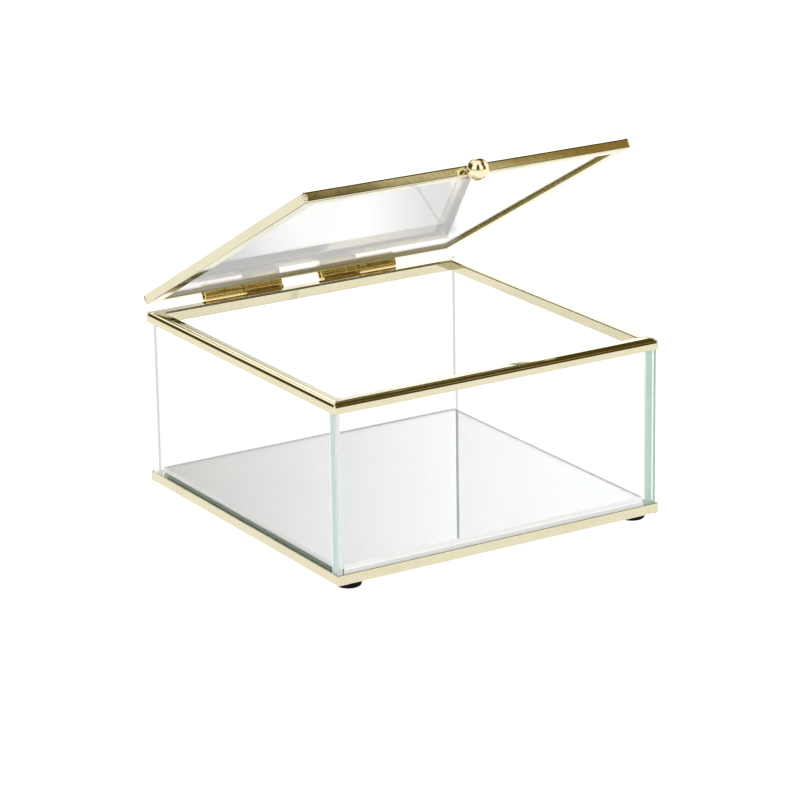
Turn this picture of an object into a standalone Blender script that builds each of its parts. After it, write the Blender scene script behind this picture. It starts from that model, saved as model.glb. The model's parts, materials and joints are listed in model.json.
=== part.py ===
"""Glass jewelry box in brass channel, with a mirror floor and a hinged glass lid standing open.

Metres, +Z up. X runs along the hinge and +Y points to the back, where the hinge is. The origin
is on the table, under the middle of the footprint with the hinge barrels counted in.
Run it with: blender --background --python part.py
"""
import math

import bmesh
import bpy
from mathutils import Matrix, Vector

MM = 0.001
GAP = 0.3 * MM  # air between pieces that lie against each other

# Box body
BOX_SIDE = 120.0 * MM  # outside of the base channel, both ways
RIM_SIDE = 119.4 * MM  # outside of the rim channel, both ways
FRAME_HEIGHT = 58.6 * MM  # underside of the base channel to the top of the rim channel
PANE_THICK = 3.0 * MM
CHANNEL_WALL = 0.5 * MM
RAIL_HEIGHT = 3.6 * MM
MIRROR_THICK = 1.8 * MM
BOARD_THICK = 3.6 * MM

# Feet
FOOT_RADIUS = 4.2 * MM
FOOT_HEIGHT = 2.4 * MM
FOOT_ROUND = 0.9 * MM  # rounding of the lower edge
# From the outline to each foot's centre, in X and Y: they are stuck on by hand, so they vary
FOOT_INSETS = {
    "front_left": (7.8 * MM, 6.6 * MM),
    "front_right": (4.9 * MM, 7.7 * MM),
    "back_left": (8.2 * MM, 7.0 * MM),
    "back_right": (6.6 * MM, 7.2 * MM),
}

# Lid
LID_WIDTH = 118.6 * MM
LID_DEPTH = 120.0 * MM
LID_BACK = 0.45 * MM  # middle of the shut lid behind the middle of the box
LID_GLASS_THICK = 1.6 * MM
LID_WALL = 0.55 * MM  # lips above and below the lid glass
LID_LIFT = 1.0 * MM  # air between rim and closed lid
LID_OPEN = math.radians(28.4)

# Hinges: two, each a barrel on the rim and a barrel on the lid round one pin
BARREL_RADIUS = 1.5 * MM
BORE_RADIUS = 0.9 * MM
PIN_RADIUS = BORE_RADIUS - GAP
BARREL_LENGTH = 14.5 * MM
HINGE_X = 22.3 * MM  # middle of each hinge from the middle of the box
AXIS_BEHIND = 2.5 * MM  # hinge axis behind the rim's outer face
AXIS_ABOVE = 0.55 * MM  # hinge axis above the rim
SADDLE_DROP = 2.4 * MM  # how far a barrel's saddle reaches along the rail's face
SADDLE_SHORTER = 2.0 * MM
PIN_RECESS = 1.0 * MM

# Knob
KNOB_RADIUS = 3.5 * MM
KNOB_STAND = KNOB_RADIUS + GAP  # ball centre in front of the lid's front face
KNOB_RAISE = 0.6 * MM  # ball centre above the lid's underside
STUD_RADIUS = 0.8 * MM
STUD_LENGTH = 2.2 * MM

# Finish
CHANNEL_ROUND = 0.3 * MM
SHOULDER_ROUND = 1.0 * MM  # the fold of the rim and base channels that faces outwards
GLASS_ARRIS = 0.2 * MM  # ground edge of the glass
PAST = 1.0 * MM  # how far a cutter runs past the faces it cuts
ROUND_STEPS = 24

# Worked out from the sizes above
GROOVE = PANE_THICK + 2 * GAP
RAIL_WIDTH = GROOVE + 2 * CHANNEL_WALL
BASE_WIDER = (BOX_SIDE - RIM_SIDE) / 2
BASE_RAIL_WIDTH = RAIL_WIDTH + BASE_WIDER
LID_GROOVE = LID_GLASS_THICK + 2 * GAP
LID_RAIL_HEIGHT = LID_GROOVE + 2 * LID_WALL
PANE_INSET = CHANNEL_WALL + GAP  # rim's or lid's outline to the edge or face of the glass
BASE_Z = FOOT_HEIGHT + GAP
RIM_Z = BASE_Z + FRAME_HEIGHT
AXIS_Y = RIM_SIDE / 2 + AXIS_BEHIND
BODY_Y = -(AXIS_Y + BARREL_RADIUS - BOX_SIDE / 2) / 2
AXIS_FROM_LID = AXIS_Y - LID_BACK - LID_DEPTH / 2
AXIS_Z = RIM_Z + AXIS_ABOVE

# Side name, outward direction in X and Y, and turn about Z
SIDES = (
    ("front", 0, -1, 0.0),
    ("right", 1, 0, math.pi / 2),
    ("back", 0, 1, math.pi),
    ("left", -1, 0, -math.pi / 2),
)


def clear_scene():
    for thing in list(bpy.data.objects):
        bpy.data.objects.remove(thing, do_unlink=True)


def new_collection(name, hidden=False):
    collection = bpy.data.collections.new(name)
    collection.hide_render = hidden
    bpy.context.scene.collection.children.link(collection)
    return collection


def new_material(name, colour, roughness, metallic=0.0, transmission=0.0):
    material = bpy.data.materials.new(name)
    material.use_nodes = True
    shader = material.node_tree.nodes["Principled BSDF"]
    shader.inputs["Base Color"].default_value = (*colour, 1.0)
    shader.inputs["Roughness"].default_value = roughness
    shader.inputs["Metallic"].default_value = metallic
    shader.inputs["Transmission Weight"].default_value = transmission
    return material


def new_empty(name, parent, location, turn_x=0.0):
    empty = bpy.data.objects.new(name, None)
    empty.location = location
    empty.rotation_euler = (turn_x, 0.0, 0.0)
    empty.parent = parent
    parts.objects.link(empty)
    return empty


def place(name, mesh, parent, location, material, turn=(0.0, 0.0, 0.0)):
    """A visible piece: its mesh, finish and place under its parent."""
    piece = bpy.data.objects.new(name, mesh)
    piece.location = location
    piece.rotation_euler = turn
    piece.parent = parent
    if not mesh.materials:
        mesh.materials.append(material)
    parts.objects.link(piece)
    return piece


def combine(piece, name, mesh, operation, location=(0.0, 0.0, 0.0)):
    """Cuts a helper from the piece, or joins it on; the helper is placed in the piece's own axes."""
    helper = bpy.data.objects.new(piece.name + "_" + name, mesh)
    helper.parent = piece
    helper.location = location
    helper.hide_render = True
    helper.display_type = "WIRE"
    cutters.objects.link(helper)
    boolean = piece.modifiers.new(name, "BOOLEAN")
    boolean.operation = operation
    boolean.solver = "EXACT"
    boolean.object = helper


def mesh_from(bm, name, smooth=False):
    mesh = bpy.data.meshes.new(name)
    bm.to_mesh(mesh)
    bm.free()
    if smooth:
        mesh.shade_smooth()
        mesh.set_sharp_from_angle(angle=math.radians(35))
    return mesh


def block_mesh(name, size, arris=0.0):
    """A block centred on its origin, with its edges ground off by arris."""
    bm = bmesh.new()
    bmesh.ops.create_cube(bm, size=1.0)
    bmesh.ops.scale(bm, vec=size, verts=bm.verts)
    if arris:
        bmesh.ops.bevel(bm, geom=bm.edges[:], offset=arris, segments=1, affect="EDGES")
    return mesh_from(bm, name)


def rod_mesh(name, radius, length, turn, turn_axis):
    """A round bar centred on its origin, turned from Z on to its own axis."""
    bm = bmesh.new()
    bmesh.ops.create_cone(
        bm, cap_ends=True, segments=ROUND_STEPS, radius1=radius, radius2=radius, depth=length
    )
    turned_to = Matrix.Rotation(turn, 3, turn_axis)
    bmesh.ops.rotate(bm, cent=(0, 0, 0), matrix=turned_to, verts=bm.verts)
    return mesh_from(bm, name, smooth=True)


def rail_mesh(name, length, width, height, shoulder):
    """A mitred bar along X: outer face at y = 0, underside at z = 0, long edges rounded.

    shoulder is the height of its outer edge with the large rounding, or None if it has none.
    """
    bm = bmesh.new()
    bmesh.ops.create_cube(bm, size=1.0)
    bmesh.ops.scale(bm, vec=(length, width, height), verts=bm.verts)
    bmesh.ops.translate(bm, vec=(0, width / 2, height / 2), verts=bm.verts)
    lengthwise = [e for e in bm.edges if e.calc_length() > length - GAP]
    large = []
    if shoulder is not None:
        at = Vector((0, 0, shoulder))
        large = [e for e in lengthwise if (sum((v.co for v in e.verts), Vector()) / 2 - at).length < GAP]
    small = [e for e in lengthwise if e not in large]
    bmesh.ops.bevel(bm, geom=small, offset=CHANNEL_ROUND, segments=2, profile=0.5, affect="EDGES")
    if large:
        bmesh.ops.bevel(
            bm, geom=large, offset=SHOULDER_ROUND, segments=4, profile=0.5, affect="EDGES"
        )
    mitre_gap = GAP / 2 * math.sqrt(2)
    for vert in bm.verts:
        vert.co.x -= math.copysign(vert.co.y + mitre_gap, vert.co.x)
    return mesh_from(bm, name)


def turned_piece(name, profile, parent, location, material, turn=(0.0, 0.0, 0.0)):
    """A solid of revolution; the profile runs from the axis at the top down to the axis again."""
    mesh = bpy.data.meshes.new(name)
    edges = [(i, i + 1) for i in range(len(profile) - 1)]
    mesh.from_pydata([(radius, 0.0, z) for radius, z in profile], edges, [])
    piece = place(name, mesh, parent, location, material, turn)
    screw = piece.modifiers.new("turn", "SCREW")
    screw.axis = "Z"
    screw.steps = ROUND_STEPS
    screw.render_steps = ROUND_STEPS
    screw.use_merge_vertices = True
    screw.merge_threshold = 0.00001
    screw.use_smooth_shade = True
    return piece


def frame(prefix, size, rail, shoulder, groove_y, groove_z, parent, bottom, material):
    """Four mitred rails round a rectangle, each with a groove cut along its whole length.

    size is the rectangle's width and depth, and rail is one rail's width and height.
    """
    width, depth = size
    rail_width, rail_height = rail
    groove_size_y = groove_y[1] - groove_y[0]
    groove_size_z = groove_z[1] - groove_z[0]
    middle = (0, sum(groove_y) / 2, sum(groove_z) / 2)
    for side, out_x, out_y, turn in SIDES:
        length = width if out_y else depth
        mesh = rail_mesh(prefix + "_rail_" + side, length, rail_width, rail_height, shoulder)
        location = (out_x * width / 2, out_y * depth / 2, bottom)
        piece = place(mesh.name, mesh, parent, location, material, (0, 0, turn))
        slot = block_mesh("groove", (length + 2 * PAST, groove_size_y, groove_size_z))
        combine(piece, "groove", slot, "DIFFERENCE", middle)


def build_body_frames(body, brass):
    across_base = (CHANNEL_WALL, BASE_RAIL_WIDTH - CHANNEL_WALL)
    across_rim = (CHANNEL_WALL, RAIL_WIDTH - CHANNEL_WALL)
    from_top = (CHANNEL_WALL, RAIL_HEIGHT + PAST)
    from_below = (-PAST, RAIL_HEIGHT - CHANNEL_WALL)
    base_size = (BOX_SIDE, BOX_SIDE)
    base_rail = (BASE_RAIL_WIDTH, RAIL_HEIGHT)
    frame("base", base_size, base_rail, 0.0, across_base, from_top, body, BASE_Z, brass)
    rim_size = (RIM_SIDE, RIM_SIDE)
    rim_rail = (RAIL_WIDTH, RAIL_HEIGHT)
    rim_bottom = RIM_Z - RAIL_HEIGHT
    frame("rim", rim_size, rim_rail, RAIL_HEIGHT, across_rim, from_below, body, rim_bottom, brass)


def build_panes(body, glass):
    height = FRAME_HEIGHT - 2 * PANE_INSET
    full = RIM_SIDE - 2 * PANE_INSET
    between = full - 2 * (PANE_THICK + GAP)
    out = RIM_SIDE / 2 - PANE_INSET - PANE_THICK / 2
    z = BASE_Z + FRAME_HEIGHT / 2
    for side, out_x, out_y, turn in SIDES:
        length = full if out_y else between
        mesh = block_mesh("glass_pane_" + side, (length, PANE_THICK, height), GLASS_ARRIS)
        place(mesh.name, mesh, body, (out_x * out, out_y * out, z), glass, (0, 0, turn))


def build_floor(body, silvered, board_finish):
    lip_inside = BOX_SIDE - 2 * BASE_RAIL_WIDTH
    board_side = lip_inside - 2 * GAP
    board = block_mesh("base_board", (board_side, board_side, BOARD_THICK))
    place(board.name, board, body, (0, 0, BASE_Z + BOARD_THICK / 2), board_finish)
    mirror_side = RIM_SIDE - 2 * (PANE_INSET + PANE_THICK + GAP)
    mirror = block_mesh("mirror_plate", (mirror_side, mirror_side, MIRROR_THICK), GLASS_ARRIS)
    mirror_z = BASE_Z + RAIL_HEIGHT + GAP + MIRROR_THICK / 2
    place(mirror.name, mirror, body, (0, 0, mirror_z), silvered)


def build_feet(body, rubber):
    arc_steps = 4
    profile = [(0.0, FOOT_HEIGHT), (FOOT_RADIUS, FOOT_HEIGHT)]
    for step in range(arc_steps + 1):
        angle = math.pi / 2 * step / arc_steps
        inward = FOOT_ROUND * (1 - math.cos(angle))
        profile.append((FOOT_RADIUS - inward, FOOT_ROUND * (1 - math.sin(angle))))
    profile.append((0.0, 0.0))
    for end, sign_y in (("front", -1), ("back", 1)):
        for hand, sign_x in (("left", -1), ("right", 1)):
            inset_x, inset_y = FOOT_INSETS[f"{end}_{hand}"]
            x = sign_x * (BOX_SIDE / 2 - inset_x)
            y = sign_y * (BOX_SIDE / 2 - inset_y)
            turned_piece(f"foot_{end}_{hand}", profile, body, (x, y, 0.0), rubber)


def build_barrel(name, parent, x, face, saddle_way, brass):
    """A barrel on the hinge axis, face behind the rim or the lid.

    Its saddle runs down the rim's face, or up the lid's.
    """
    mesh = rod_mesh(name, BARREL_RADIUS, BARREL_LENGTH, math.pi / 2, "Y")
    barrel = place(name, mesh, parent, (x, 0, 0), brass)
    saddle_y = (GAP - face, -GAP)
    saddle_size = (BARREL_LENGTH - SADDLE_SHORTER, saddle_y[1] - saddle_y[0], SADDLE_DROP)
    saddle = block_mesh("saddle", saddle_size)
    saddle_at = (0, sum(saddle_y) / 2, saddle_way * SADDLE_DROP / 2)
    combine(barrel, "saddle", saddle, "UNION", saddle_at)
    bore = rod_mesh("bore", BORE_RADIUS, BARREL_LENGTH + 2 * PAST, math.pi / 2, "Y")
    combine(barrel, "bore", bore, "DIFFERENCE")


def build_hinges(rim_axis, lid_axis, brass, steel):
    half_step = (BARREL_LENGTH + GAP) / 2
    pin_length = 2 * BARREL_LENGTH + GAP - 2 * PIN_RECESS
    for hand, sign in (("left", -1), ("right", 1)):
        middle = sign * HINGE_X
        inner_x = middle - sign * half_step
        outer_x = middle + sign * half_step
        build_barrel("hinge_barrel_rim_" + hand, rim_axis, inner_x, AXIS_BEHIND, -1, brass)
        build_barrel("hinge_barrel_lid_" + hand, lid_axis, outer_x, AXIS_FROM_LID, 1, brass)
        name = "hinge_pin_" + hand
        pin = rod_mesh(name, PIN_RADIUS, pin_length, math.pi / 2, "Y")
        place(name, pin, rim_axis, (middle, 0, 0), steel)


def build_lid(lid, brass, glass):
    """Everything here is placed from the lid's middle, with its underside at z = 0."""
    inward = (CHANNEL_WALL, RAIL_WIDTH + PAST)
    between_lips = (LID_WALL, LID_WALL + LID_GROOVE)
    lid_size = (LID_WIDTH, LID_DEPTH)
    lid_rail = (RAIL_WIDTH, LID_RAIL_HEIGHT)
    frame("lid", lid_size, lid_rail, None, inward, between_lips, lid, 0.0, brass)
    glass_size = (LID_WIDTH - 2 * PANE_INSET, LID_DEPTH - 2 * PANE_INSET, LID_GLASS_THICK)
    pane = block_mesh("lid_glass", glass_size, GLASS_ARRIS)
    place(pane.name, pane, lid, (0, 0, LID_RAIL_HEIGHT / 2), glass)


def build_knob(lid, brass):
    """The ball has a blind hole in its back for the stud, and its own +Z points forward."""
    arc_steps = 14
    hole_radius = STUD_RADIUS + GAP
    hole_floor = STUD_LENGTH + 2 * GAP - KNOB_STAND
    hole_angle = math.pi - math.asin(hole_radius / KNOB_RADIUS)
    profile = []
    for step in range(arc_steps + 1):
        angle = hole_angle * step / arc_steps
        profile.append((KNOB_RADIUS * math.sin(angle), KNOB_RADIUS * math.cos(angle)))
    profile += [(hole_radius, hole_floor), (0.0, hole_floor)]
    face_y = -LID_DEPTH / 2
    forward = (math.pi / 2, 0, 0)
    ball_at = (0, face_y - KNOB_STAND, KNOB_RAISE)
    turned_piece("knob_ball", profile, lid, ball_at, brass, forward)
    stud = rod_mesh("knob_stud", STUD_RADIUS, STUD_LENGTH, math.pi / 2, "X")
    stud_at = (0, face_y - GAP - STUD_LENGTH / 2, KNOB_RAISE)
    place(stud.name, stud, lid, stud_at, brass)


def build_jewelry_box():
    brass = new_material("frame_brass", (0.78, 0.60, 0.27), 0.22, metallic=1.0)
    hinge_brass = new_material("hinge_brass", (0.74, 0.53, 0.20), 0.28, metallic=1.0)
    knob_brass = new_material("knob_brass", (0.82, 0.62, 0.30), 0.10, metallic=1.0)
    steel = new_material("pin_steel", (0.45, 0.43, 0.40), 0.35, metallic=1.0)
    glass = new_material("pane_glass", (0.90, 0.97, 0.95), 0.02, transmission=1.0)
    lid_glass = new_material("lid_glass", (0.94, 0.98, 0.97), 0.02, transmission=1.0)
    silvered = new_material("silvered_mirror", (0.93, 0.94, 0.94), 0.02, metallic=1.0)
    board_finish = new_material("board_felt", (0.03, 0.03, 0.03), 0.95)
    rubber = new_material("foot_rubber", (0.015, 0.015, 0.015), 0.6)

    body = new_empty("box_body", None, (0, BODY_Y, 0))
    rim_axis = new_empty("rim_hinge_axis", body, (0, AXIS_Y, AXIS_Z))
    lid_axis = new_empty("lid_hinge_axis", body, (0, AXIS_Y, AXIS_Z), turn_x=-LID_OPEN)
    lid = new_empty("lid_middle", lid_axis, (0, LID_BACK - AXIS_Y, LID_LIFT - AXIS_ABOVE))

    build_body_frames(body, brass)
    build_panes(body, glass)
    build_floor(body, silvered, board_finish)
    build_feet(body, rubber)
    build_hinges(rim_axis, lid_axis, hinge_brass, steel)
    build_lid(lid, brass, lid_glass)
    build_knob(lid, knob_brass)


clear_scene()
parts = new_collection("jewelry_box")
cutters = new_collection("cutters", hidden=True)
build_jewelry_box()
bpy.context.view_layer.update()
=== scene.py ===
"""Looks for the glass jewelry box: brass channel, glass, mirror, hinges and knob round the CAD frame.

Metres, in the CAD model's own frame. Body pieces are placed from the CAD nodes' boxes. Lid pieces
are laid out with the lid shut and then turned about the hinge axis to its rest angle.
"""
import json
import math

import bmesh
import bpy
from mathutils import Matrix, Vector


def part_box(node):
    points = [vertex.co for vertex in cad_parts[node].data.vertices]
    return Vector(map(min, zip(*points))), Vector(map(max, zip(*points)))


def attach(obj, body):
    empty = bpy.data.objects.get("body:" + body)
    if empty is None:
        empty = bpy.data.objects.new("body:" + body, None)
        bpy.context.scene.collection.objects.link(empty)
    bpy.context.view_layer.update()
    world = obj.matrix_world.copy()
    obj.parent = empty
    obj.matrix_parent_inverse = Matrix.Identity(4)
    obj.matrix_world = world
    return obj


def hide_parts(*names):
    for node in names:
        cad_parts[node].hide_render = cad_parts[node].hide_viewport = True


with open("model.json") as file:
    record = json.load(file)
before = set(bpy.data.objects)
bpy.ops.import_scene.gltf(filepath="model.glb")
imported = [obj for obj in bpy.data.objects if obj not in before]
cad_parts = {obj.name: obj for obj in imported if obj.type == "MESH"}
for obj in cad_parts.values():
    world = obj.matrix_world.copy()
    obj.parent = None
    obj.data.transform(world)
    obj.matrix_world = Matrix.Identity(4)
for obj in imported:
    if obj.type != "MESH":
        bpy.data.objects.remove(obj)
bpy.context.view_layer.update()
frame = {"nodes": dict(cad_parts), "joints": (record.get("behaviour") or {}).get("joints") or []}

MM = 0.001
QUARTER_TURN = math.pi / 2
UNTURNED = Matrix.Identity(4)

# Camera, in degrees and metres
CAMERA_AZIMUTH = -31.613
CAMERA_ELEVATION = 17.842
CAMERA_ROLL = -0.873
CAMERA_DISTANCE = 1.15324
CAMERA_TARGET = Vector((0.003768, 0.00391, 0.03365))
LENS_MM = 159.4
SENSOR_MM = 36.0
CLIP_START = 0.01

# Brass channel
WALL = 0.5 * MM
TIP_ROUND = 0.15 * MM
BASE_ROUND = 1.0 * MM
RIM_ROUND = 1.9 * MM
RIM_BACK_ROUND = 1.0 * MM
INNER_ROUND = 0.65 * MM
LID_WALL = 0.45 * MM
LID_ROUND = 0.55 * MM
MITRE_GAP = 0.04 * MM
RAIL_STATIONS = 60

# The faint waves of drawn strip, along it
WAVE = 0.01 * MM
LONG_WAVE = 9 * MM
SHORT_WAVE = 3.7 * MM
SHORT_WAVE_SHARE = 0.6
FIRST_PHASE = 0.7
UPWARD_PHASE = 1.3

# Solder
MITRE_BEAD = 0.14 * MM
CORNER_BEAD = 0.34 * MM
LID_CORNER_BEAD = 0.95 * MM
CORNER_SINK = 0.62  # how far in from the corner a blob's middle is, in its own radii
BEAD_STEPS = 12

# Glass and mirror
ARRIS = 0.25 * MM
SILVER_LIFT = 0.05 * MM
MIRROR_WIDER = 0.25 * MM  # closes the CAD model's gap to the panes
PANE_OUT = 0.4 * MM  # panes pressed against the outer walls of their channels
PANE_THICK = 3.0 * MM
BEDDING = 0.5 * MM
BEDDING_GAP = 0.05 * MM
FACING_SIDEWAYS = 0.5
FLAT = 0.999

# Hinges. The fillet's points are (y, z) from the axis, with z counted the way that the fillet runs
# along the rail's face.
BARREL_BORE = 0.8 * MM
BARREL_CHAMFER = 0.12 * MM
BARREL_RADIUS = 1.5 * MM
PIN_RADIUS = 0.65 * MM
PIN_DOME = 0.25 * MM
FILLET_BITE = 0.05 * MM
FILLET_NEAR = 0.45 * MM
FILLET_FAR = 2.9 * MM
FILLET_ROOT = Vector((-1.2 * MM, -0.35 * MM))
FILLET_CREST = Vector((-0.5 * MM, 1.0 * MM))
FILLET_SHORTER = 0.2 * MM
FILLET_STEPS = 8
FILLET_STATIONS = 24

# Knob and its collar
KNOB_SEAT = math.radians(160)
KNOB_STEPS = 40
COLLAR_NECK = 0.9 * MM
COLLAR_WAIST = 1.0 * MM
COLLAR_FOOT = 1.3 * MM
COLLAR_BITE = 0.1 * MM

# Feet
FOOT_ROUND = 0.9 * MM
FOOT_CHAMFER = 0.3 * MM
FOOT_STEPS = 8

# The painted reflection on the lid glass, a grey glow: how strong it is across the pane, in
# millimetres from its middle
PAINTED_REFLECTION_ACROSS = (0.87 / MM, -0.5 / MM, 0)
PAINTED_REFLECTION_LEFT = ((-64.0, -22.0), (0.88, 0.28))
PAINTED_REFLECTION_RIGHT = ((-10.0, 20.0), (0.0, 0.36))
PAINTED_REFLECTION_END = ((22.0, 27.0), (1.0, 0.0))
PAINTED_REFLECTION_BY_HINGE = ((28 * MM, 40 * MM), (1.0, 0.45))
PAINTED_REFLECTION_GRAZING = ((0.65, 0.86), (0.0, 1.0))

SIDES = (
    ("front", 0, -1, 0.0),
    ("right", 1, 0, QUARTER_TURN),
    ("back", 0, 1, math.pi),
    ("left", -1, 0, -QUARTER_TURN),
)

# The lid, with its shut place worked out from the joint
hinge = frame["joints"][0]
AXIS = Vector(hinge["pos_m"])
LID_OPEN = math.radians(-hinge["range_deg"][0])
OPENING = (
    Matrix.Translation(AXIS) @ Matrix.Rotation(-LID_OPEN, 4, "X") @ Matrix.Translation(-AXIS)
)


def node_box(*nodes, turn=UNTURNED):
    """Lowest and highest corner of CAD nodes, before the turn that they stand in."""
    back = turn.inverted()
    points = [back @ v.co for n in nodes for v in frame["nodes"][n].data.vertices]
    low = Vector(min(p[i] for p in points) for i in range(3))
    high = Vector(max(p[i] for p in points) for i in range(3))
    return low, high


def standing(angle):
    """Stands a plate that lies flat upright, and turns it to face one of the sides."""
    return Matrix.Rotation(angle, 4, "Z") @ Matrix.Rotation(QUARTER_TURN, 4, "X")


class Frame:
    """A rectangle of four rails, measured from its CAD nodes. foot is the middle of its underside."""

    def __init__(self, prefix, body, turn=UNTURNED):
        self.prefix = prefix
        self.body = body
        self.turn = turn
        low, high = node_box(*[f"{prefix}_rail_{side[0]}" for side in SIDES], turn=turn)
        front_low, front_high = node_box(prefix + "_rail_front", turn=turn)
        self.width, self.depth, self.height = high - low
        self.rail_width = front_high.y - front_low.y
        self.foot = Vector(((low.x + high.x) / 2, (low.y + high.y) / 2, low.z))


# ---------------------------------------------------------------- materials


class Nodes:
    """A short way to add nodes to one tree."""

    def __init__(self, tree):
        self.tree = tree

    def add(self, kind, **settings):
        node = self.tree.nodes.new(kind)
        for name, value in settings.items():
            setattr(node, name, value)
        return node

    def link(self, source, target):
        self.tree.links.new(source, target)

    def noise(self, stretch=(1, 1, 1), scale=1.0, detail=3.0, roughness=0.5):
        """Noise in the piece's own space; a stretch below 1 draws it out along that axis."""
        coords = self.add("ShaderNodeTexCoord")
        mapping = self.add("ShaderNodeMapping")
        mapping.inputs["Scale"].default_value = stretch
        self.link(coords.outputs["Object"], mapping.inputs["Vector"])
        node = self.add("ShaderNodeTexNoise")
        node.inputs["Scale"].default_value = scale
        node.inputs["Detail"].default_value = detail
        node.inputs["Roughness"].default_value = roughness
        self.link(mapping.outputs["Vector"], node.inputs["Vector"])
        return node.outputs["Fac"]

    def remap(self, source, before, after):
        """Smoothly turns the range before into the range after."""
        node = self.add("ShaderNodeMapRange", interpolation_type="SMOOTHSTEP")
        node.inputs["From Min"].default_value = before[0]
        node.inputs["From Max"].default_value = before[1]
        node.inputs["To Min"].default_value = after[0]
        node.inputs["To Max"].default_value = after[1]
        self.link(source, node.inputs["Value"])
        return node.outputs["Result"]

    def mix_colour(self, factor, first, second):
        node = self.add("ShaderNodeMix", data_type="RGBA")
        self.link(factor, node.inputs["Factor"])
        node.inputs["A"].default_value = (*first, 1.0)
        node.inputs["B"].default_value = (*second, 1.0)
        return node.outputs["Result"]

    def maths(self, operation, *values):
        node = self.add("ShaderNodeMath", operation=operation)
        for socket, value in zip(node.inputs, values):
            self.link(value, socket)
        return node.outputs[0]

    def dot(self, vector, direction):
        node = self.add("ShaderNodeVectorMath", operation="DOT_PRODUCT")
        node.inputs[1].default_value = direction
        self.link(vector, node.inputs[0])
        return node.outputs["Value"]

    def bump(self, height, strength, distance, under=None):
        node = self.add("ShaderNodeBump")
        node.inputs["Strength"].default_value = strength
        node.inputs["Distance"].default_value = distance
        self.link(height, node.inputs["Height"])
        if under:
            self.link(under, node.inputs["Normal"])
        return node.outputs["Normal"]


def new_material(name, **settings):
    """A Principled material with plain settings, ready for its textures."""
    material = bpy.data.materials.new(name)
    material.use_nodes = True
    nodes = Nodes(material.node_tree)
    shader = material.node_tree.nodes["Principled BSDF"]
    for key, value in settings.items():
        shader.inputs[key.replace("_", " ")].default_value = value
    return material, nodes, shader


def brass_material(name, bright, dull, rough, drawn):
    """Polished brass: drawn lines along the piece, faint tarnish and a rougher bloom."""
    material, nodes, shader = new_material(name, Metallic=1.0)
    cloud = nodes.noise(scale=60.0, detail=4.0, roughness=0.6)
    tint = nodes.mix_colour(nodes.remap(cloud, (0.45, 0.75), (0.0, 1.0)), bright, dull)
    nodes.link(tint, shader.inputs["Base Color"])
    fine = nodes.noise(scale=900.0, detail=3.0, roughness=0.6)
    bloom = nodes.remap(fine, (0.3, 0.8), (rough, rough * 2.2))
    nodes.link(bloom, shader.inputs["Roughness"])
    lines = nodes.noise(stretch=(0.02, 1, 1), scale=5000.0, detail=2.0, roughness=0.5)
    dents = nodes.noise(scale=220.0, detail=1.0, roughness=0.4)
    drawn_lines = nodes.bump(lines, strength=drawn, distance=0.01 * MM)
    dented = nodes.bump(dents, strength=0.08, distance=0.1 * MM, under=drawn_lines)
    nodes.link(dented, shader.inputs["Normal"])
    return material


def solder_material():
    material, nodes, shader = new_material("tin_solder", Metallic=1.0)
    cloud = nodes.noise(scale=700.0, detail=4.0, roughness=0.6)
    tint = nodes.mix_colour(cloud, (0.86, 0.80, 0.72), (0.62, 0.52, 0.42))
    nodes.link(tint, shader.inputs["Base Color"])
    nodes.link(nodes.remap(cloud, (0.3, 0.7), (0.22, 0.5)), shader.inputs["Roughness"])
    nodes.link(nodes.bump(cloud, strength=0.4, distance=0.15 * MM), shader.inputs["Normal"])
    return material


def steel_material():
    material, nodes, shader = new_material("pin_wire", Metallic=1.0)
    cloud = nodes.noise(stretch=(0.05, 1, 1), scale=3000.0, detail=3.0, roughness=0.5)
    tint = nodes.mix_colour(cloud, (0.55, 0.50, 0.42), (0.32, 0.29, 0.25))
    nodes.link(tint, shader.inputs["Base Color"])
    nodes.link(nodes.remap(cloud, (0.3, 0.7), (0.25, 0.45)), shader.inputs["Roughness"])
    return material


def clear_glass(name, colour, smudge):
    """Float glass: clear, with faint smudges that only soften it a little."""
    material, nodes, shader = new_material(
        name, Base_Color=(*colour, 1.0), Transmission_Weight=1.0, IOR=1.52
    )
    cloud = nodes.noise(scale=45.0, detail=3.0, roughness=0.6)
    nodes.link(nodes.remap(cloud, (0.55, 0.8), (0.0, smudge)), shader.inputs["Roughness"])
    return material


def ground_edge(name, colour, deep, painted_glow):
    """The cut edge of float glass: satin, with fine grinding marks, and a painted glow: it shines by
    emission in its own tint, standing in for light that the glass carries to it."""
    material, nodes, shader = new_material(name, IOR=1.52, Emission_Strength=painted_glow)
    cloud = nodes.noise(stretch=(1, 1, 0.08), scale=1600.0, detail=3.0, roughness=0.5)
    tint = nodes.mix_colour(nodes.remap(cloud, (0.3, 0.7), (0.0, 1.0)), colour, deep)
    nodes.link(tint, shader.inputs["Base Color"])
    nodes.link(tint, shader.inputs["Emission Color"])
    nodes.link(nodes.remap(cloud, (0.3, 0.7), (0.25, 0.45)), shader.inputs["Roughness"])
    nodes.link(nodes.bump(cloud, strength=0.15, distance=0.05 * MM), shader.inputs["Normal"])
    return material


def dull_brass(name, bright, deep, painted_glow):
    """Unpolished olive brass, as on the lid channel's lips and as seen inside it through the glass,
    with a painted glow (emission) in its own tint.
    """
    material, nodes, shader = new_material(name, Metallic=0.3, Emission_Strength=painted_glow)
    cloud = nodes.noise(scale=240.0, detail=3.0, roughness=0.5)
    tint = nodes.mix_colour(cloud, bright, deep)
    nodes.link(tint, shader.inputs["Base Color"])
    nodes.link(tint, shader.inputs["Emission Color"])
    nodes.link(nodes.remap(cloud, (0.3, 0.7), (0.4, 0.6)), shader.inputs["Roughness"])
    return material


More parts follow.
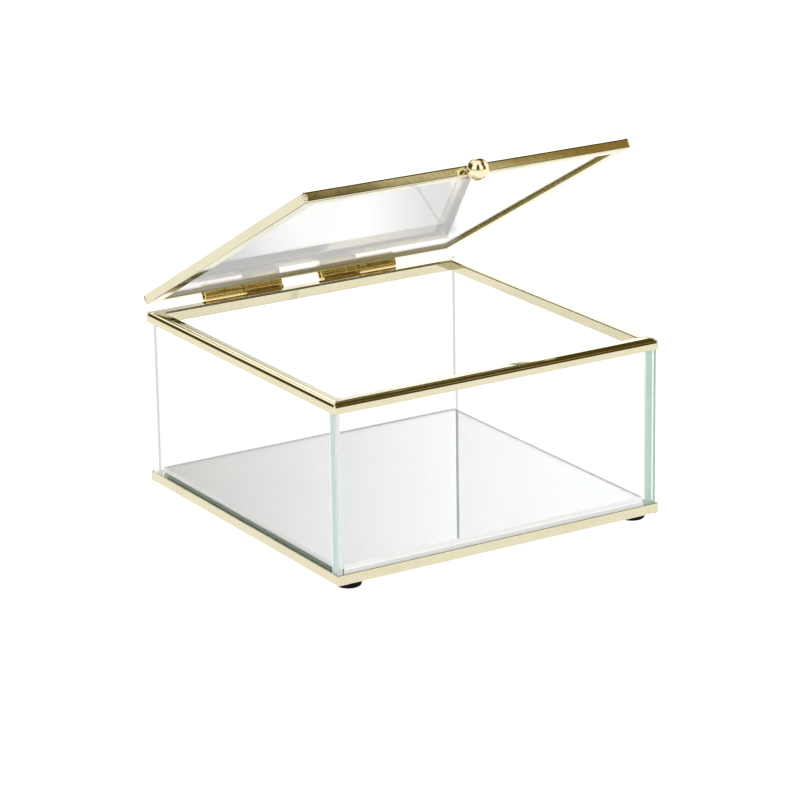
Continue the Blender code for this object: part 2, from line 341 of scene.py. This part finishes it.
def glass_with_painted_reflection(name, colour, reflection_grey):
    """Lid glass: clear face on, with a painted reflection, a faint grey glow that shows at a grazing
    angle.
    """
    material = clear_glass(name, colour, 0.01)
    nodes = Nodes(material.node_tree)
    shader = material.node_tree.nodes["Principled BSDF"]
    output = material.node_tree.nodes["Material Output"]
    # The grey glow is a painted reflection: an emission, mixed in by place across the pane, towards
    # the hinge and by grazing angle.
    painted_reflection = nodes.add("ShaderNodeEmission")
    painted_reflection.inputs["Color"].default_value = (*reflection_grey, 1.0)
    coords = nodes.add("ShaderNodeTexCoord")
    across = nodes.dot(coords.outputs["Object"], PAINTED_REFLECTION_ACROSS)
    split = nodes.add("ShaderNodeSeparateXYZ")
    nodes.link(coords.outputs["Object"], split.inputs[0])
    left = nodes.remap(across, *PAINTED_REFLECTION_LEFT)
    right = nodes.remap(across, *PAINTED_REFLECTION_RIGHT)
    facing = nodes.add("ShaderNodeLayerWeight").outputs["Facing"]
    amount = nodes.maths("ADD", left, right)
    amount = nodes.maths("MULTIPLY", amount, nodes.remap(across, *PAINTED_REFLECTION_END))
    amount = nodes.maths("MULTIPLY", amount, nodes.remap(split.outputs["Y"], *PAINTED_REFLECTION_BY_HINGE))
    amount = nodes.maths("MULTIPLY", amount, nodes.remap(facing, *PAINTED_REFLECTION_GRAZING))
    mix = nodes.add("ShaderNodeMixShader")
    nodes.link(amount, mix.inputs[0])
    nodes.link(shader.outputs[0], mix.inputs[1])
    nodes.link(painted_reflection.outputs[0], mix.inputs[2])
    nodes.link(mix.outputs[0], output.inputs["Surface"])
    return material


def silver_material():
    material, nodes, shader = new_material("mirror_silver", Metallic=1.0)
    cloud = nodes.noise(scale=30.0, detail=3.0, roughness=0.5)
    tint = nodes.mix_colour(cloud, (0.585, 0.59, 0.595), (0.565, 0.57, 0.58))
    nodes.link(tint, shader.inputs["Base Color"])
    nodes.link(nodes.remap(cloud, (0.5, 0.9), (0.0, 0.02)), shader.inputs["Roughness"])
    return material


def felt_material():
    material, nodes, shader = new_material("felt_board", Sheen_Weight=0.35)
    cloud = nodes.noise(scale=140.0, detail=4.0, roughness=0.6)
    fibre = nodes.noise(scale=2600.0, detail=4.0, roughness=0.7)
    tint = nodes.mix_colour(cloud, (0.022, 0.022, 0.024), (0.05, 0.05, 0.052))
    nodes.link(tint, shader.inputs["Base Color"])
    nodes.link(nodes.remap(fibre, (0.2, 0.8), (0.85, 1.0)), shader.inputs["Roughness"])
    nodes.link(nodes.bump(fibre, strength=0.7, distance=0.4 * MM), shader.inputs["Normal"])
    return material


def rubber_material():
    material, nodes, shader = new_material("foot_rubber", Specular_IOR_Level=0.06)
    cloud = nodes.noise(scale=500.0, detail=3.0, roughness=0.6)
    dusty = nodes.remap(cloud, (0.45, 0.8), (0.0, 1.0))
    tint = nodes.mix_colour(dusty, (0.004, 0.004, 0.004), (0.012, 0.012, 0.012))
    nodes.link(tint, shader.inputs["Base Color"])
    nodes.link(nodes.remap(cloud, (0.3, 0.7), (0.45, 0.7)), shader.inputs["Roughness"])
    nodes.link(nodes.bump(cloud, strength=0.2, distance=0.1 * MM), shader.inputs["Normal"])
    return material


# ---------------------------------------------------------------- shapes


def piece_from(bm, name, materials, body, node=None, place=None, smooth=35.0):
    """Makes the piece, puts it in place and ties it to its body, and hides its CAD node if it has one.
    """
    bmesh.ops.recalc_face_normals(bm, faces=bm.faces)
    mesh = bpy.data.meshes.new(name)
    bm.to_mesh(mesh)
    bm.free()
    for material in materials:
        mesh.materials.append(material)
    mesh.shade_smooth()
    mesh.set_sharp_from_angle(angle=math.radians(smooth))
    piece = bpy.data.objects.new(name, mesh)
    bpy.context.scene.collection.objects.link(piece)
    flat = piece.modifiers.new("flat_faces_stay_flat", "WEIGHTED_NORMAL")
    flat.keep_sharp = True
    piece.matrix_world = place or UNTURNED
    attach(piece, body)
    if node:
        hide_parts(node)


def skin(bm, rings):
    """Joins rings of as many points each, and gives back each face with its place in the ring."""
    count = len(rings[0])
    faces = []
    for ring, following in zip(rings, rings[1:]):
        for i in range(count):
            j = (i + 1) % count
            faces.append((i, j, bm.faces.new((ring[i], ring[j], following[j], following[i]))))
    return faces


def rounded_outline(corners, steps=6):
    """A closed outline in Y and Z from right-angled corners, each (y, z, radius)."""
    points = []
    for index, (y, z, radius) in enumerate(corners):
        here = Vector((y, z))
        if not radius:
            points.append(here)
            continue
        before = (Vector(corners[index - 1][:2]) - here).normalized()
        after = (Vector(corners[(index + 1) % len(corners)][:2]) - here).normalized()
        centre = here + (before + after) * radius
        for step in range(steps + 1):
            angle = QUARTER_TURN * step / steps
            reach = after * math.cos(angle) + before * math.sin(angle)
            points.append(centre - reach * radius)
    return points


def base_section(rails, outer=BASE_ROUND):
    """Channel with its mouth up; outer face at y = 0, and the fold there rounded by outer."""
    width, height = rails.rail_width, rails.height
    return rounded_outline(
        (
            (0, height, TIP_ROUND),
            (0, 0, outer),
            (width, 0, INNER_ROUND),
            (width, height, TIP_ROUND),
            (width - WALL, height, TIP_ROUND),
            (width - WALL, WALL, INNER_ROUND - WALL),
            (WALL, WALL, outer - WALL),
            (WALL, height, TIP_ROUND),
        )
    )


def rim_section(rails, outer):
    """The same channel turned over, mouth down."""
    return [Vector((point.x, rails.height - point.y)) for point in base_section(rails, outer)]


def lid_section(rails):
    """Channel with its mouth inwards."""
    width, height = rails.rail_width, rails.height
    return rounded_outline(
        (
            (0, 0, LID_ROUND),
            (width, 0, TIP_ROUND),
            (width, LID_WALL, TIP_ROUND),
            (WALL, LID_WALL, 0),
            (WALL, height - LID_WALL, 0),
            (width, height - LID_WALL, TIP_ROUND),
            (width, height, TIP_ROUND),
            (0, height, LID_ROUND),
        )
    )


def wave(x, phase):
    long_wave = math.sin(x / LONG_WAVE + phase)
    short_wave = math.sin(x / SHORT_WAVE + 2 * phase)
    return WAVE * (long_wave + SHORT_WAVE_SHARE * short_wave)


def rail(name, node, section, length, place, body, brass, phase, tip):
    """Sweeps a channel section along X, with mitred ends and the waves of drawn strip."""
    bm = bmesh.new()
    rings = []
    for station in range(RAIL_STATIONS + 1):
        share = 2 * station / RAIL_STATIONS - 1
        ring = []
        for point in section:
            x = share * (length / 2 - point.x - MITRE_GAP)
            y = point.x + wave(x, phase)
            z = point.y + wave(x, phase + UPWARD_PHASE)
            ring.append(bm.verts.new((x, y, z)))
        rings.append(ring)
    inner = max(point.x for point in section) - 1.5 * TIP_ROUND
    for i, j, face in skin(bm, rings):
        if tip and section[i].x > inner and section[j].x > inner:
            face.material_index = 1
    for ring in (rings[0], rings[-1]):
        bm.faces.new(ring)
    piece_from(bm, name, [brass, tip or brass], body, node, place)


def build_frame(rails, section, brass, tip=None, back_section=None):
    """Four mitred rails round a frame's rectangle.

    tip is the finish of their lips' tips if not brass, and back_section the back rail's own shape.
    """
    for index, (side, out_x, out_y, angle) in enumerate(SIDES):
        corner = rails.foot + Vector((out_x * rails.width / 2, out_y * rails.depth / 2, 0))
        place = rails.turn @ Matrix.Translation(corner) @ Matrix.Rotation(angle, 4, "Z")
        length = rails.width if out_y else rails.depth
        name = f"{rails.prefix}_channel_{side}"
        node = f"{rails.prefix}_rail_{side}"
        shape = back_section if back_section and side == "back" else section
        rail(name, node, shape, length, place, rails.body, brass, index + FIRST_PHASE, tip)


def bead(name, points, radii, material, body, turn):
    """A lumpy thread of solder along a few points."""
    curve = bpy.data.curves.new(name, "CURVE")
    curve.dimensions = "3D"
    curve.bevel_depth = 1.0
    curve.bevel_resolution = 3
    curve.use_fill_caps = True
    spline = curve.splines.new("POLY")
    spline.points.add(len(points) - 1)
    for spot, point, radius in zip(spline.points, points, radii):
        spot.co = (*(turn @ Vector(point)), 1.0)
        spot.radius = radius
    curve.materials.append(material)
    piece = bpy.data.objects.new(name, curve)
    bpy.context.scene.collection.objects.link(piece)
    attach(piece, body)


def slab(
    name, node, size, place, body, slot, face, edge, far=None, under=None, left=None, arris=ARRIS
):
    """A glass plate, thin along Z: polished faces, and ground edges in their own material.

    far is for the edges that face right and back, left for those that face left, and under for
    the face below. Each is as edge where it isn't given, and the face below as face.
    """
    bm = bmesh.new()
    bmesh.ops.create_cube(bm, size=1.0)
    bmesh.ops.scale(bm, vec=size, verts=bm.verts)
    bmesh.ops.bevel(bm, geom=bm.edges[:], offset=arris, segments=2, affect="EDGES")
    bm.normal_update()
    turn = place.to_3x3()
    for polygon in bm.faces:
        normal = turn @ polygon.normal
        faces_away = normal.x > FACING_SIDEWAYS or normal.y > FACING_SIDEWAYS
        polygon.material_index = 2 if faces_away else 1
        if abs(polygon.normal.z) > FLAT:
            polygon.material_index = 0
        if left and normal.x < -FACING_SIDEWAYS:
            polygon.material_index = 4
        if under and polygon.normal.z < -FLAT:
            polygon.material_index = 3
    materials = [face, edge, far or edge, under or edge, left or edge]
    piece_from(bm, name, materials, body, node, place, smooth=20.0)


def lathe(name, node, profile, place, body, material, turns=64):
    """Turns a profile of (radius, z) about Z. Ends on the axis are closed to a point."""
    bm = bmesh.new()
    rings = []
    for radius, z in profile:
        if not radius:
            rings.append([bm.verts.new((0, 0, z))])
            continue
        angles = [2 * math.pi * i / turns for i in range(turns)]
        ring = [bm.verts.new((radius * math.cos(a), radius * math.sin(a), z)) for a in angles]
        rings.append(ring)
    closed = len(rings[0]) > 1
    pairs = list(zip(rings, rings[1:])) + ([(rings[-1], rings[0])] if closed else [])
    for first, second in pairs:
        for i in range(turns):
            j = (i + 1) % turns
            corners = [first[i % len(first)], first[j % len(first)]]
            corners += [second[j % len(second)], second[i % len(second)]]
            bm.faces.new(list(dict.fromkeys(corners)))
    piece_from(bm, name, [material], body, node, place)


# ---------------------------------------------------------------- the object


def build_glass(clear, edge, inner_edge, pale_edge):
    for side, out_x, out_y, angle in SIDES:
        node = "glass_pane_" + side
        low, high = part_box(node)
        size = high - low
        length = size.x if out_y else size.y
        thick = size.y if out_y else size.x
        middle = (low + high) / 2 + Vector((out_x, out_y, 0)) * PANE_OUT
        place = Matrix.Translation(middle) @ standing(angle)
        size = (length + 2 * PANE_OUT, size.z, thick)
        # Each pane's near and far edges take lighter or darker copies of the edge finish by the way
        # they face: painted light and shade.
        near = {"front": edge, "right": inner_edge}.get(side, pale_edge)
        far = inner_edge if side == "front" else pale_edge
        slab("pane_" + side, node, size, place, "box", "pane_glass", clear, near, far)


def build_bedding(pale, dark):
    """Glazing strip between each pane's inner face and the base channel's inner lip. It glows (painted
    light): pale in the mirror's edge finish, painting the mirror's reflection over the lip, and dark
    at the left.
    """
    step_in = PANE_THICK / 2 - PANE_OUT + BEDDING / 2 + BEDDING_GAP
    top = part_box("mirror_plate")[0].z + ARRIS
    for side, out_x, out_y, angle in SIDES:
        low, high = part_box("glass_pane_" + side)
        length = high.x - low.x if out_y else high.y - low.y
        bottom = low.z + ARRIS
        middle = (low + high) / 2 - Vector((out_x, out_y, 0)) * step_in
        middle.z = (bottom + top) / 2
        place = Matrix.Translation(middle) @ standing(angle)
        size = (length - 2 * PANE_THICK, top - bottom, BEDDING)
        strip = dark if side == "left" else pale
        name = "glazing_strip_" + side
        slab(name, None, size, place, "box", "pane_glass", strip, strip, arris=BEDDING / 4)


def build_mirror(clear, edge, far_edge, left_edge, silver):
    low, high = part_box("mirror_plate")
    low -= Vector((MIRROR_WIDER, MIRROR_WIDER, -SILVER_LIFT))
    high += Vector((MIRROR_WIDER, MIRROR_WIDER, 0))
    place = Matrix.Translation((low + high) / 2)
    # The mirror's edges are painted and glow: pale like its reflection at the front, darker at the
    # left, darkest at the right and back (painted reflection, light and shade).
    finishes = (clear, edge, far_edge, silver, left_edge)
    slab("floor_mirror", "mirror_plate", high - low, place, "box", "silvered_mirror", *finishes)


def build_lid_glass(clear, edge):
    low, high = node_box("lid_glass", turn=OPENING)
    place = OPENING @ Matrix.Translation((low + high) / 2)
    slab("lid_pane", "lid_glass", high - low, place, "lid", "lid_glass", clear, edge)


def lumpy(radius, lump, beat, count, start):
    """Radii of a bead that swells and thins along its length."""
    return [radius * (1 + lump * math.sin(beat * i + start)) for i in range(count)]


def build_corner_solder(rails, top, solder):
    """Solder along each mitre's top or underside, and a blob down each corner's outer edge."""
    level = Vector((0, 0, rails.height if top else 0.0))
    for number, (sign_x, sign_y) in enumerate(((-1, -1), (1, -1), (-1, 1), (1, 1))):
        corner = rails.foot + Vector((sign_x * rails.width / 2, sign_y * rails.depth / 2, 0))
        inward = Vector((-sign_x, -sign_y, 0))
        shares = [i / BEAD_STEPS for i in range(1, BEAD_STEPS + 1)]

        points = [corner + level + inward * rails.rail_width * share for share in shares]
        radii = lumpy(MITRE_BEAD, 0.3, 2.3, BEAD_STEPS, number)
        name = f"{rails.prefix}_mitre_solder_{number}"
        bead(name, points, radii, solder, rails.body, rails.turn)

        size = LID_CORNER_BEAD if rails.body == "lid" and sign_x < 0 else CORNER_BEAD
        middle = corner + inward * size * CORNER_SINK
        points = [middle + Vector((0, 0, rails.height * share)) for share in shares[:-1]]
        swell = [math.sin(math.pi * share) ** 0.4 for share in shares[:-1]]
        radii = [w * r for w, r in zip(swell, lumpy(size, 0.15, 1.9, len(swell), number))]
        name = f"{rails.prefix}_corner_solder_{number}"
        bead(name, points, radii, solder, rails.body, rails.turn)


def build_barrel(node, body, material, turn=UNTURNED):
    """A tube about the hinge axis; gives back its middle along the axis and half its length."""
    low, high = node_box(node, turn=turn)
    half = (high.x - low.x) / 2
    profile = (
        (BARREL_BORE, half),
        (BARREL_RADIUS - BARREL_CHAMFER, half),
        (BARREL_RADIUS, half - BARREL_CHAMFER),
        (BARREL_RADIUS, BARREL_CHAMFER - half),
        (BARREL_RADIUS - BARREL_CHAMFER, -half),
        (BARREL_BORE, -half),
    )
    middle = Vector(((low.x + high.x) / 2, AXIS.y, AXIS.z))
    place = turn @ Matrix.Translation(middle) @ Matrix.Rotation(QUARTER_TURN, 4, "Y")
    lathe(node.replace("hinge_", ""), node, profile, place, body, material)
    return middle.x, half


def fillet_profile(reach, way):
    """The fillet's outline round the axis, where the rail's face is reach in front of it."""
    profile = [Vector((-reach - FILLET_BITE, way * FILLET_NEAR))]
    profile.append(Vector((FILLET_ROOT.x, way * FILLET_ROOT.y)))
    for step in range(FILLET_STEPS + 1):
        angle = QUARTER_TURN * step / FILLET_STEPS
        y = -reach + (reach + FILLET_CREST.x) * (1 - math.sin(angle))
        z = FILLET_CREST.y + (FILLET_FAR - FILLET_CREST.y) * (1 - math.cos(angle))
        profile.append(Vector((y, way * z)))
    profile.append(Vector((-reach - FILLET_BITE, way * FILLET_FAR)))
    return profile


def build_fillet(name, middle, half, face_y, way, body, material, turn=UNTURNED):
    """Solder between a barrel and a rail's back face, hollow on its outer side.

    way is -1 where it runs down the face and 1 where it runs up.
    """
    profile = fillet_profile(AXIS.y - face_y, way)
    bm = bmesh.new()
    rings = []
    for station in range(FILLET_STATIONS + 1):
        share = 2 * station / FILLET_STATIONS - 1
        taper = 0.35 * abs(share) ** 6
        lump = 0.05 * math.sin(7.3 * share + middle / MM)
        thick = 1 - taper + lump
        x = middle + share * (half - FILLET_SHORTER)
        rings.append([bm.verts.new((x, AXIS.y + p.x, AXIS.z + p.y * thick)) for p in profile])
    skin(bm, rings)
    bm.faces.new(rings[0])
    bm.faces.new(rings[-1])
    piece_from(bm, name, [material], body, place=turn)


def build_pin(hand, steel):
    node = "hinge_pin_" + hand
    low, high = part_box(node)
    half = (high.x - low.x) / 2
    profile = (
        (0, half),
        (PIN_RADIUS - PIN_DOME, half),
        (PIN_RADIUS, half - PIN_DOME),
        (PIN_RADIUS, PIN_DOME - half),
        (PIN_RADIUS - PIN_DOME, -half),
        (0, -half),
    )
    place = Matrix.Translation((low + high) / 2) @ Matrix.Rotation(QUARTER_TURN, 4, "Y")
    lathe("pin_" + hand, node, profile, place, "box", steel)


def build_hinges(rim, lid, brass, steel):
    rim_face = rim.foot.y + rim.depth / 2
    lid_face = lid.foot.y + lid.depth / 2
    for hand in ("left", "right"):
        middle, half = build_barrel("hinge_barrel_rim_" + hand, "box", brass)
        build_fillet("rim_fillet_" + hand, middle, half, rim_face, -1, "box", brass)
        middle, half = build_barrel("hinge_barrel_lid_" + hand, "lid", brass, OPENING)
        build_fillet("lid_fillet_" + hand, middle, half, lid_face, 1, "lid", brass, OPENING)
        build_pin(hand, steel)


def build_knob(brass, solder, lid):
    """The ball, flat where it is soldered on, and the collar of solder round its stud."""
    low, high = node_box("knob_ball", turn=OPENING)
    radius = (high.x - low.x) / 2
    centre = (low + high) / 2
    centre.y = low.y + radius
    flat_z = radius * math.cos(KNOB_SEAT)
    angles = [KNOB_SEAT * i / KNOB_STEPS for i in range(1, KNOB_STEPS + 1)]
    ball = [(0.0, radius)]
    ball += [(radius * math.sin(a), radius * math.cos(a)) for a in angles]
    ball.append((0.0, flat_z))
    forward = Matrix.Rotation(QUARTER_TURN, 4, "X")
    place = OPENING @ Matrix.Translation(centre) @ forward
    lathe("ball_knob", "knob_ball", ball, place, "lid", brass, turns=96)

    face_y = lid.foot.y - lid.depth / 2
    gap = face_y - (centre.y - flat_z)
    collar = (
        (0.0, gap + 3 * COLLAR_BITE),
        (COLLAR_NECK, gap + 2 * COLLAR_BITE),
        (COLLAR_WAIST, COLLAR_BITE),
        (COLLAR_FOOT, -COLLAR_BITE),
        (0.0, -2 * COLLAR_BITE),
    )
    place = OPENING @ Matrix.Translation((centre.x, face_y, centre.z)) @ forward
    lathe("knob_collar", None, collar, place, "lid", solder)


def foot_profile(radius, height):
    profile = [(0.0, height), (radius - FOOT_CHAMFER, height), (radius, height - FOOT_CHAMFER)]
    for step in range(FOOT_STEPS + 1):
        angle = QUARTER_TURN * step / FOOT_STEPS
        inward = FOOT_ROUND * (1 - math.cos(angle))
        profile.append((radius - inward, FOOT_ROUND * (1 - math.sin(angle))))
    profile.append((0.0, 0.0))
    return profile


def build_feet(rubber):
    for end in ("front", "back"):
        for hand in ("left", "right"):
            node = f"foot_{end}_{hand}"
            low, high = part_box(node)
            profile = foot_profile((high.x - low.x) / 2, high.z - low.z)
            centre = (low + high) / 2
            place = Matrix.Translation((centre.x, centre.y, low.z))
            lathe(f"bumper_{end}_{hand}", node, profile, place, "box", rubber)


# ---------------------------------------------------------------- studio


def build_camera():
    azimuth, elevation = math.radians(CAMERA_AZIMUTH), math.radians(CAMERA_ELEVATION)
    back = Vector(
        (
            math.sin(azimuth) * math.cos(elevation),
            -math.cos(azimuth) * math.cos(elevation),
            math.sin(elevation),
        )
    )
    data = bpy.data.cameras.new("camera")
    data.lens = LENS_MM
    data.sensor_width = SENSOR_MM
    data.clip_start = CLIP_START
    camera = bpy.data.objects.new("camera", data)
    bpy.context.scene.collection.objects.link(camera)
    turn = back.to_track_quat("Z", "Y").to_matrix().to_4x4()
    roll = Matrix.Rotation(math.radians(CAMERA_ROLL), 4, "Z")
    camera.matrix_world = Matrix.Translation(CAMERA_TARGET + back * CAMERA_DISTANCE) @ turn @ roll
    bpy.context.scene.camera = camera


FLOOR_RADIUS = 8.0
FLOOR_GREY = (0.25, 0.25, 0.25, 1)
FLOOR_GLOW = 1.05


def build_floor():
    """A floor that shines white, so that no shadow shows on it."""
    bm = bmesh.new()
    bmesh.ops.create_circle(bm, cap_ends=True, segments=96, radius=FLOOR_RADIUS)
    mesh = bpy.data.meshes.new("studio_floor")
    bm.to_mesh(mesh)
    bm.free()
    white = new_material(
        "studio_white",
        Base_Color=FLOOR_GREY,
        Roughness=1.0,
        Specular_IOR_Level=0.0,
        Emission_Color=(1, 1, 1, 1),
        Emission_Strength=FLOOR_GLOW,
    )
    mesh.materials.append(white[0])
    floor = bpy.data.objects.new("studio_floor", mesh)
    bpy.context.scene.collection.objects.link(floor)


# Soft patches of light on the studio's walls. Each has the azimuths (0 is +Y, 90 is +X) where it
# starts, is full, starts to fade and ends, the same for its elevations, and its colour.
PATCHES = (
    # Behind the object: low, for the mirror and the rim's tops, and two above for the rim's fold
    ((22.0, 35.2, 35.4, 40), (-8, 0, 20, 27), (1.76, 1.80, 1.86)),
    ((14, 20, 30, 35), (21, 24, 30, 36), (1.5, 1.5, 1.5)),
    ((-28, -20, 25, 33), (24, 29, 38, 44), (1.5, 1.5, 1.5)),
    # Front right: olive and gold tones along the lid's front rail
    ((128, 133, 140.0, 141.6), (29, 31, 35, 38), (0.25, 0.17, 0.042)),
    ((139.5, 141.2, 141.6, 143.4), (29, 31, 35, 38), (0.62, 0.58, 0.45)),
    ((141.0, 142.0, 142.6, 144.6), (29, 31, 35, 38), (0.22, 0.20, 0.12)),
    ((145.5, 147, 150, 153), (26, 29, 36, 40), (0.30, 0.27, 0.13)),
    # Tall soft boxes on both sides of the camera, which stands at 212
    ((151, 157, 190, 197), (4, 12, 62, 70), (1.35, 1.35, 1.35)),
    ((226, 233, 276, 284), (4, 12, 62, 70), (1.35, 1.35, 1.35)),
    # High at the left and back, and a wide panel at the right
    ((-110, -95, 0, 12), (40, 46, 64, 70), (1.0, 1.0, 0.95)),
    ((58, 66, 114, 122), (-5, 0, 37, 43), (1.2, 1.15, 1.0)),
)
STUDIO_DARK = (0.097, 0.068, 0.013)
OVERHEAD = (1.1, 1.08, 1.0)
OVERHEAD_FROM = (math.radians(61), math.radians(67))
HORIZON = (1.1, 1.1, 1.1)
HORIZON_FADE = (0.0, 0.08)


def ramp(nodes, source, edges):
    """1 between the middle two edges, falling softly to 0 at the outer two; all in degrees."""
    start, full, fade, end = (math.radians(edge) for edge in edges)
    rise = nodes.remap(source, (start, full), (0.0, 1.0))
    return nodes.maths("MULTIPLY", rise, nodes.remap(source, (fade, end), (1.0, 0.0)))


def tinted(nodes, factor, colour, total=None):
    """A factor times a colour, added to the light so far."""
    scale = nodes.add("ShaderNodeVectorMath", operation="SCALE")
    scale.inputs[0].default_value = colour
    nodes.link(factor, scale.inputs["Scale"])
    if total is None:
        return scale.outputs[0]
    add = nodes.add("ShaderNodeVectorMath", operation="ADD")
    nodes.link(total, add.inputs[0])
    nodes.link(scale.outputs[0], add.inputs[1])
    return add.outputs[0]


def patch(nodes, direction, elevation, azimuths, elevations):
    """How strongly one patch of light shows in a direction."""
    centre = (azimuths[1] + azimuths[2]) / 2
    turn = math.radians(centre)
    across = nodes.dot(direction, (math.cos(turn), -math.sin(turn), 0))
    along = nodes.dot(direction, (math.sin(turn), math.cos(turn), 0))
    sideways = nodes.maths("ARCTAN2", across, along)
    wide = ramp(nodes, sideways, [azimuth - centre for azimuth in azimuths])
    return nodes.maths("MULTIPLY", wide, ramp(nodes, elevation, elevations))


def build_world():
    """A dim warm studio over a white floor, with soft patches of light round it."""
    world = bpy.data.worlds.new("studio")
    bpy.context.scene.world = world
    world.use_nodes = True
    nodes = Nodes(world.node_tree)
    direction = nodes.add("ShaderNodeTexCoord").outputs["Generated"]
    split = nodes.add("ShaderNodeSeparateXYZ")
    nodes.link(direction, split.inputs[0])
    elevation = nodes.maths("ARCSINE", split.outputs["Z"])
    total = tinted(nodes, nodes.remap(elevation, HORIZON_FADE, (1.0, 0.0)), HORIZON)
    total = tinted(nodes, nodes.remap(elevation, HORIZON_FADE, (0.0, 1.0)), STUDIO_DARK, total)
    total = tinted(nodes, nodes.remap(elevation, OVERHEAD_FROM, (0.0, 1.0)), OVERHEAD, total)
    for azimuths, elevations, colour in PATCHES:
        light = patch(nodes, direction, elevation, azimuths, elevations)
        total = tinted(nodes, light, colour, total)
    background = world.node_tree.nodes["Background"]
    background.inputs["Strength"].default_value = 1.0
    nodes.link(total, background.inputs["Color"])


# ---------------------------------------------------------------- putting it together

build_camera()

frame_brass = brass_material("channel_brass", (0.65, 0.61, 0.44), (0.625, 0.58, 0.40), 0.05, 0.06)
hinge_brass = brass_material("tube_brass", (0.76, 0.57, 0.21), (0.70, 0.50, 0.16), 0.14, 0.01)
knob_brass = brass_material("ball_brass", (0.84, 0.74, 0.50), (0.80, 0.69, 0.44), 0.10, 0.05)
# Olive brass with a painted glow: faint on the lid channel's lips, strong on the lid glass's edges,
# where it paints the channel seen through the glass as a painted reflection.
lip = dull_brass("lip_brass", (0.42, 0.36, 0.14), (0.34, 0.28, 0.10), 0.15)
seated = dull_brass("seated_glass_edge", (0.38, 0.32, 0.11), (0.31, 0.26, 0.08), 1.25)
solder = solder_material()
steel = steel_material()
silver = silver_material()
clear = clear_glass("float_glass", (0.995, 1.0, 0.998), 0.015)
# Lid glass with a painted reflection: a grey glow over part of the pane.
lid_clear = glass_with_painted_reflection("thin_float_glass", (0.995, 1.0, 0.999), (0.47, 0.47, 0.48))
# Glass edge finishes: copies of one ground edge in lighter and darker tones, given out by the way each
# edge faces (painted light and shade); all of them glow (painted light).
edge = ground_edge("ground_glass_edge", (0.36, 0.46, 0.43), (0.31, 0.41, 0.38), 0.5)
inner_edge = ground_edge("inner_glass_edge", (0.43, 0.60, 0.53), (0.37, 0.54, 0.47), 0.5)
pale_edge = ground_edge("pale_glass_edge", (0.75, 0.78, 0.78), (0.69, 0.72, 0.72), 0.5)
# Mirror edge finishes: one glowing finish in three tones by the way the edge faces, painted like the
# mirror's reflection.
mirror_edge = ground_edge("mirror_edge", (0.80, 0.80, 0.80), (0.75, 0.75, 0.75), 0.62)
mirror_far = ground_edge("mirror_far_edge", (0.42, 0.45, 0.43), (0.36, 0.39, 0.37), 0.6)
mirror_left = ground_edge("mirror_left_edge", (0.56, 0.57, 0.56), (0.50, 0.51, 0.50), 0.62)
# The left glazing strip's finish: dark, with a painted glow.
dark_strip = ground_edge("dark_strip", (0.06, 0.10, 0.06), (0.02, 0.035, 0.02), 0.9)

base = Frame("base", "box")
rim = Frame("rim", "box")
lid = Frame("lid", "lid", OPENING)
build_frame(base, base_section(base), frame_brass)
rim_back = rim_section(rim, RIM_BACK_ROUND)
build_frame(rim, rim_section(rim, RIM_ROUND), frame_brass, back_section=rim_back)
build_frame(lid, lid_section(lid), frame_brass, lip)
build_corner_solder(base, False, solder)
build_corner_solder(rim, True, solder)
build_corner_solder(lid, True, solder)
build_glass(clear, edge, inner_edge, pale_edge)
build_bedding(mirror_edge, dark_strip)
build_mirror(clear, mirror_edge, mirror_far, mirror_left, silver)
build_lid_glass(lid_clear, seated)
build_hinges(rim, lid, hinge_brass, steel)
build_knob(knob_brass, solder, lid)
build_feet(rubber_material())
for node, material in (("base_board", felt_material()), ("knob_stud", hinge_brass)):
    frame["nodes"][node].data.materials.clear()
    frame["nodes"][node].data.materials.append(material)

build_floor()
build_world()
bpy.context.scene.view_settings.view_transform = "Standard"
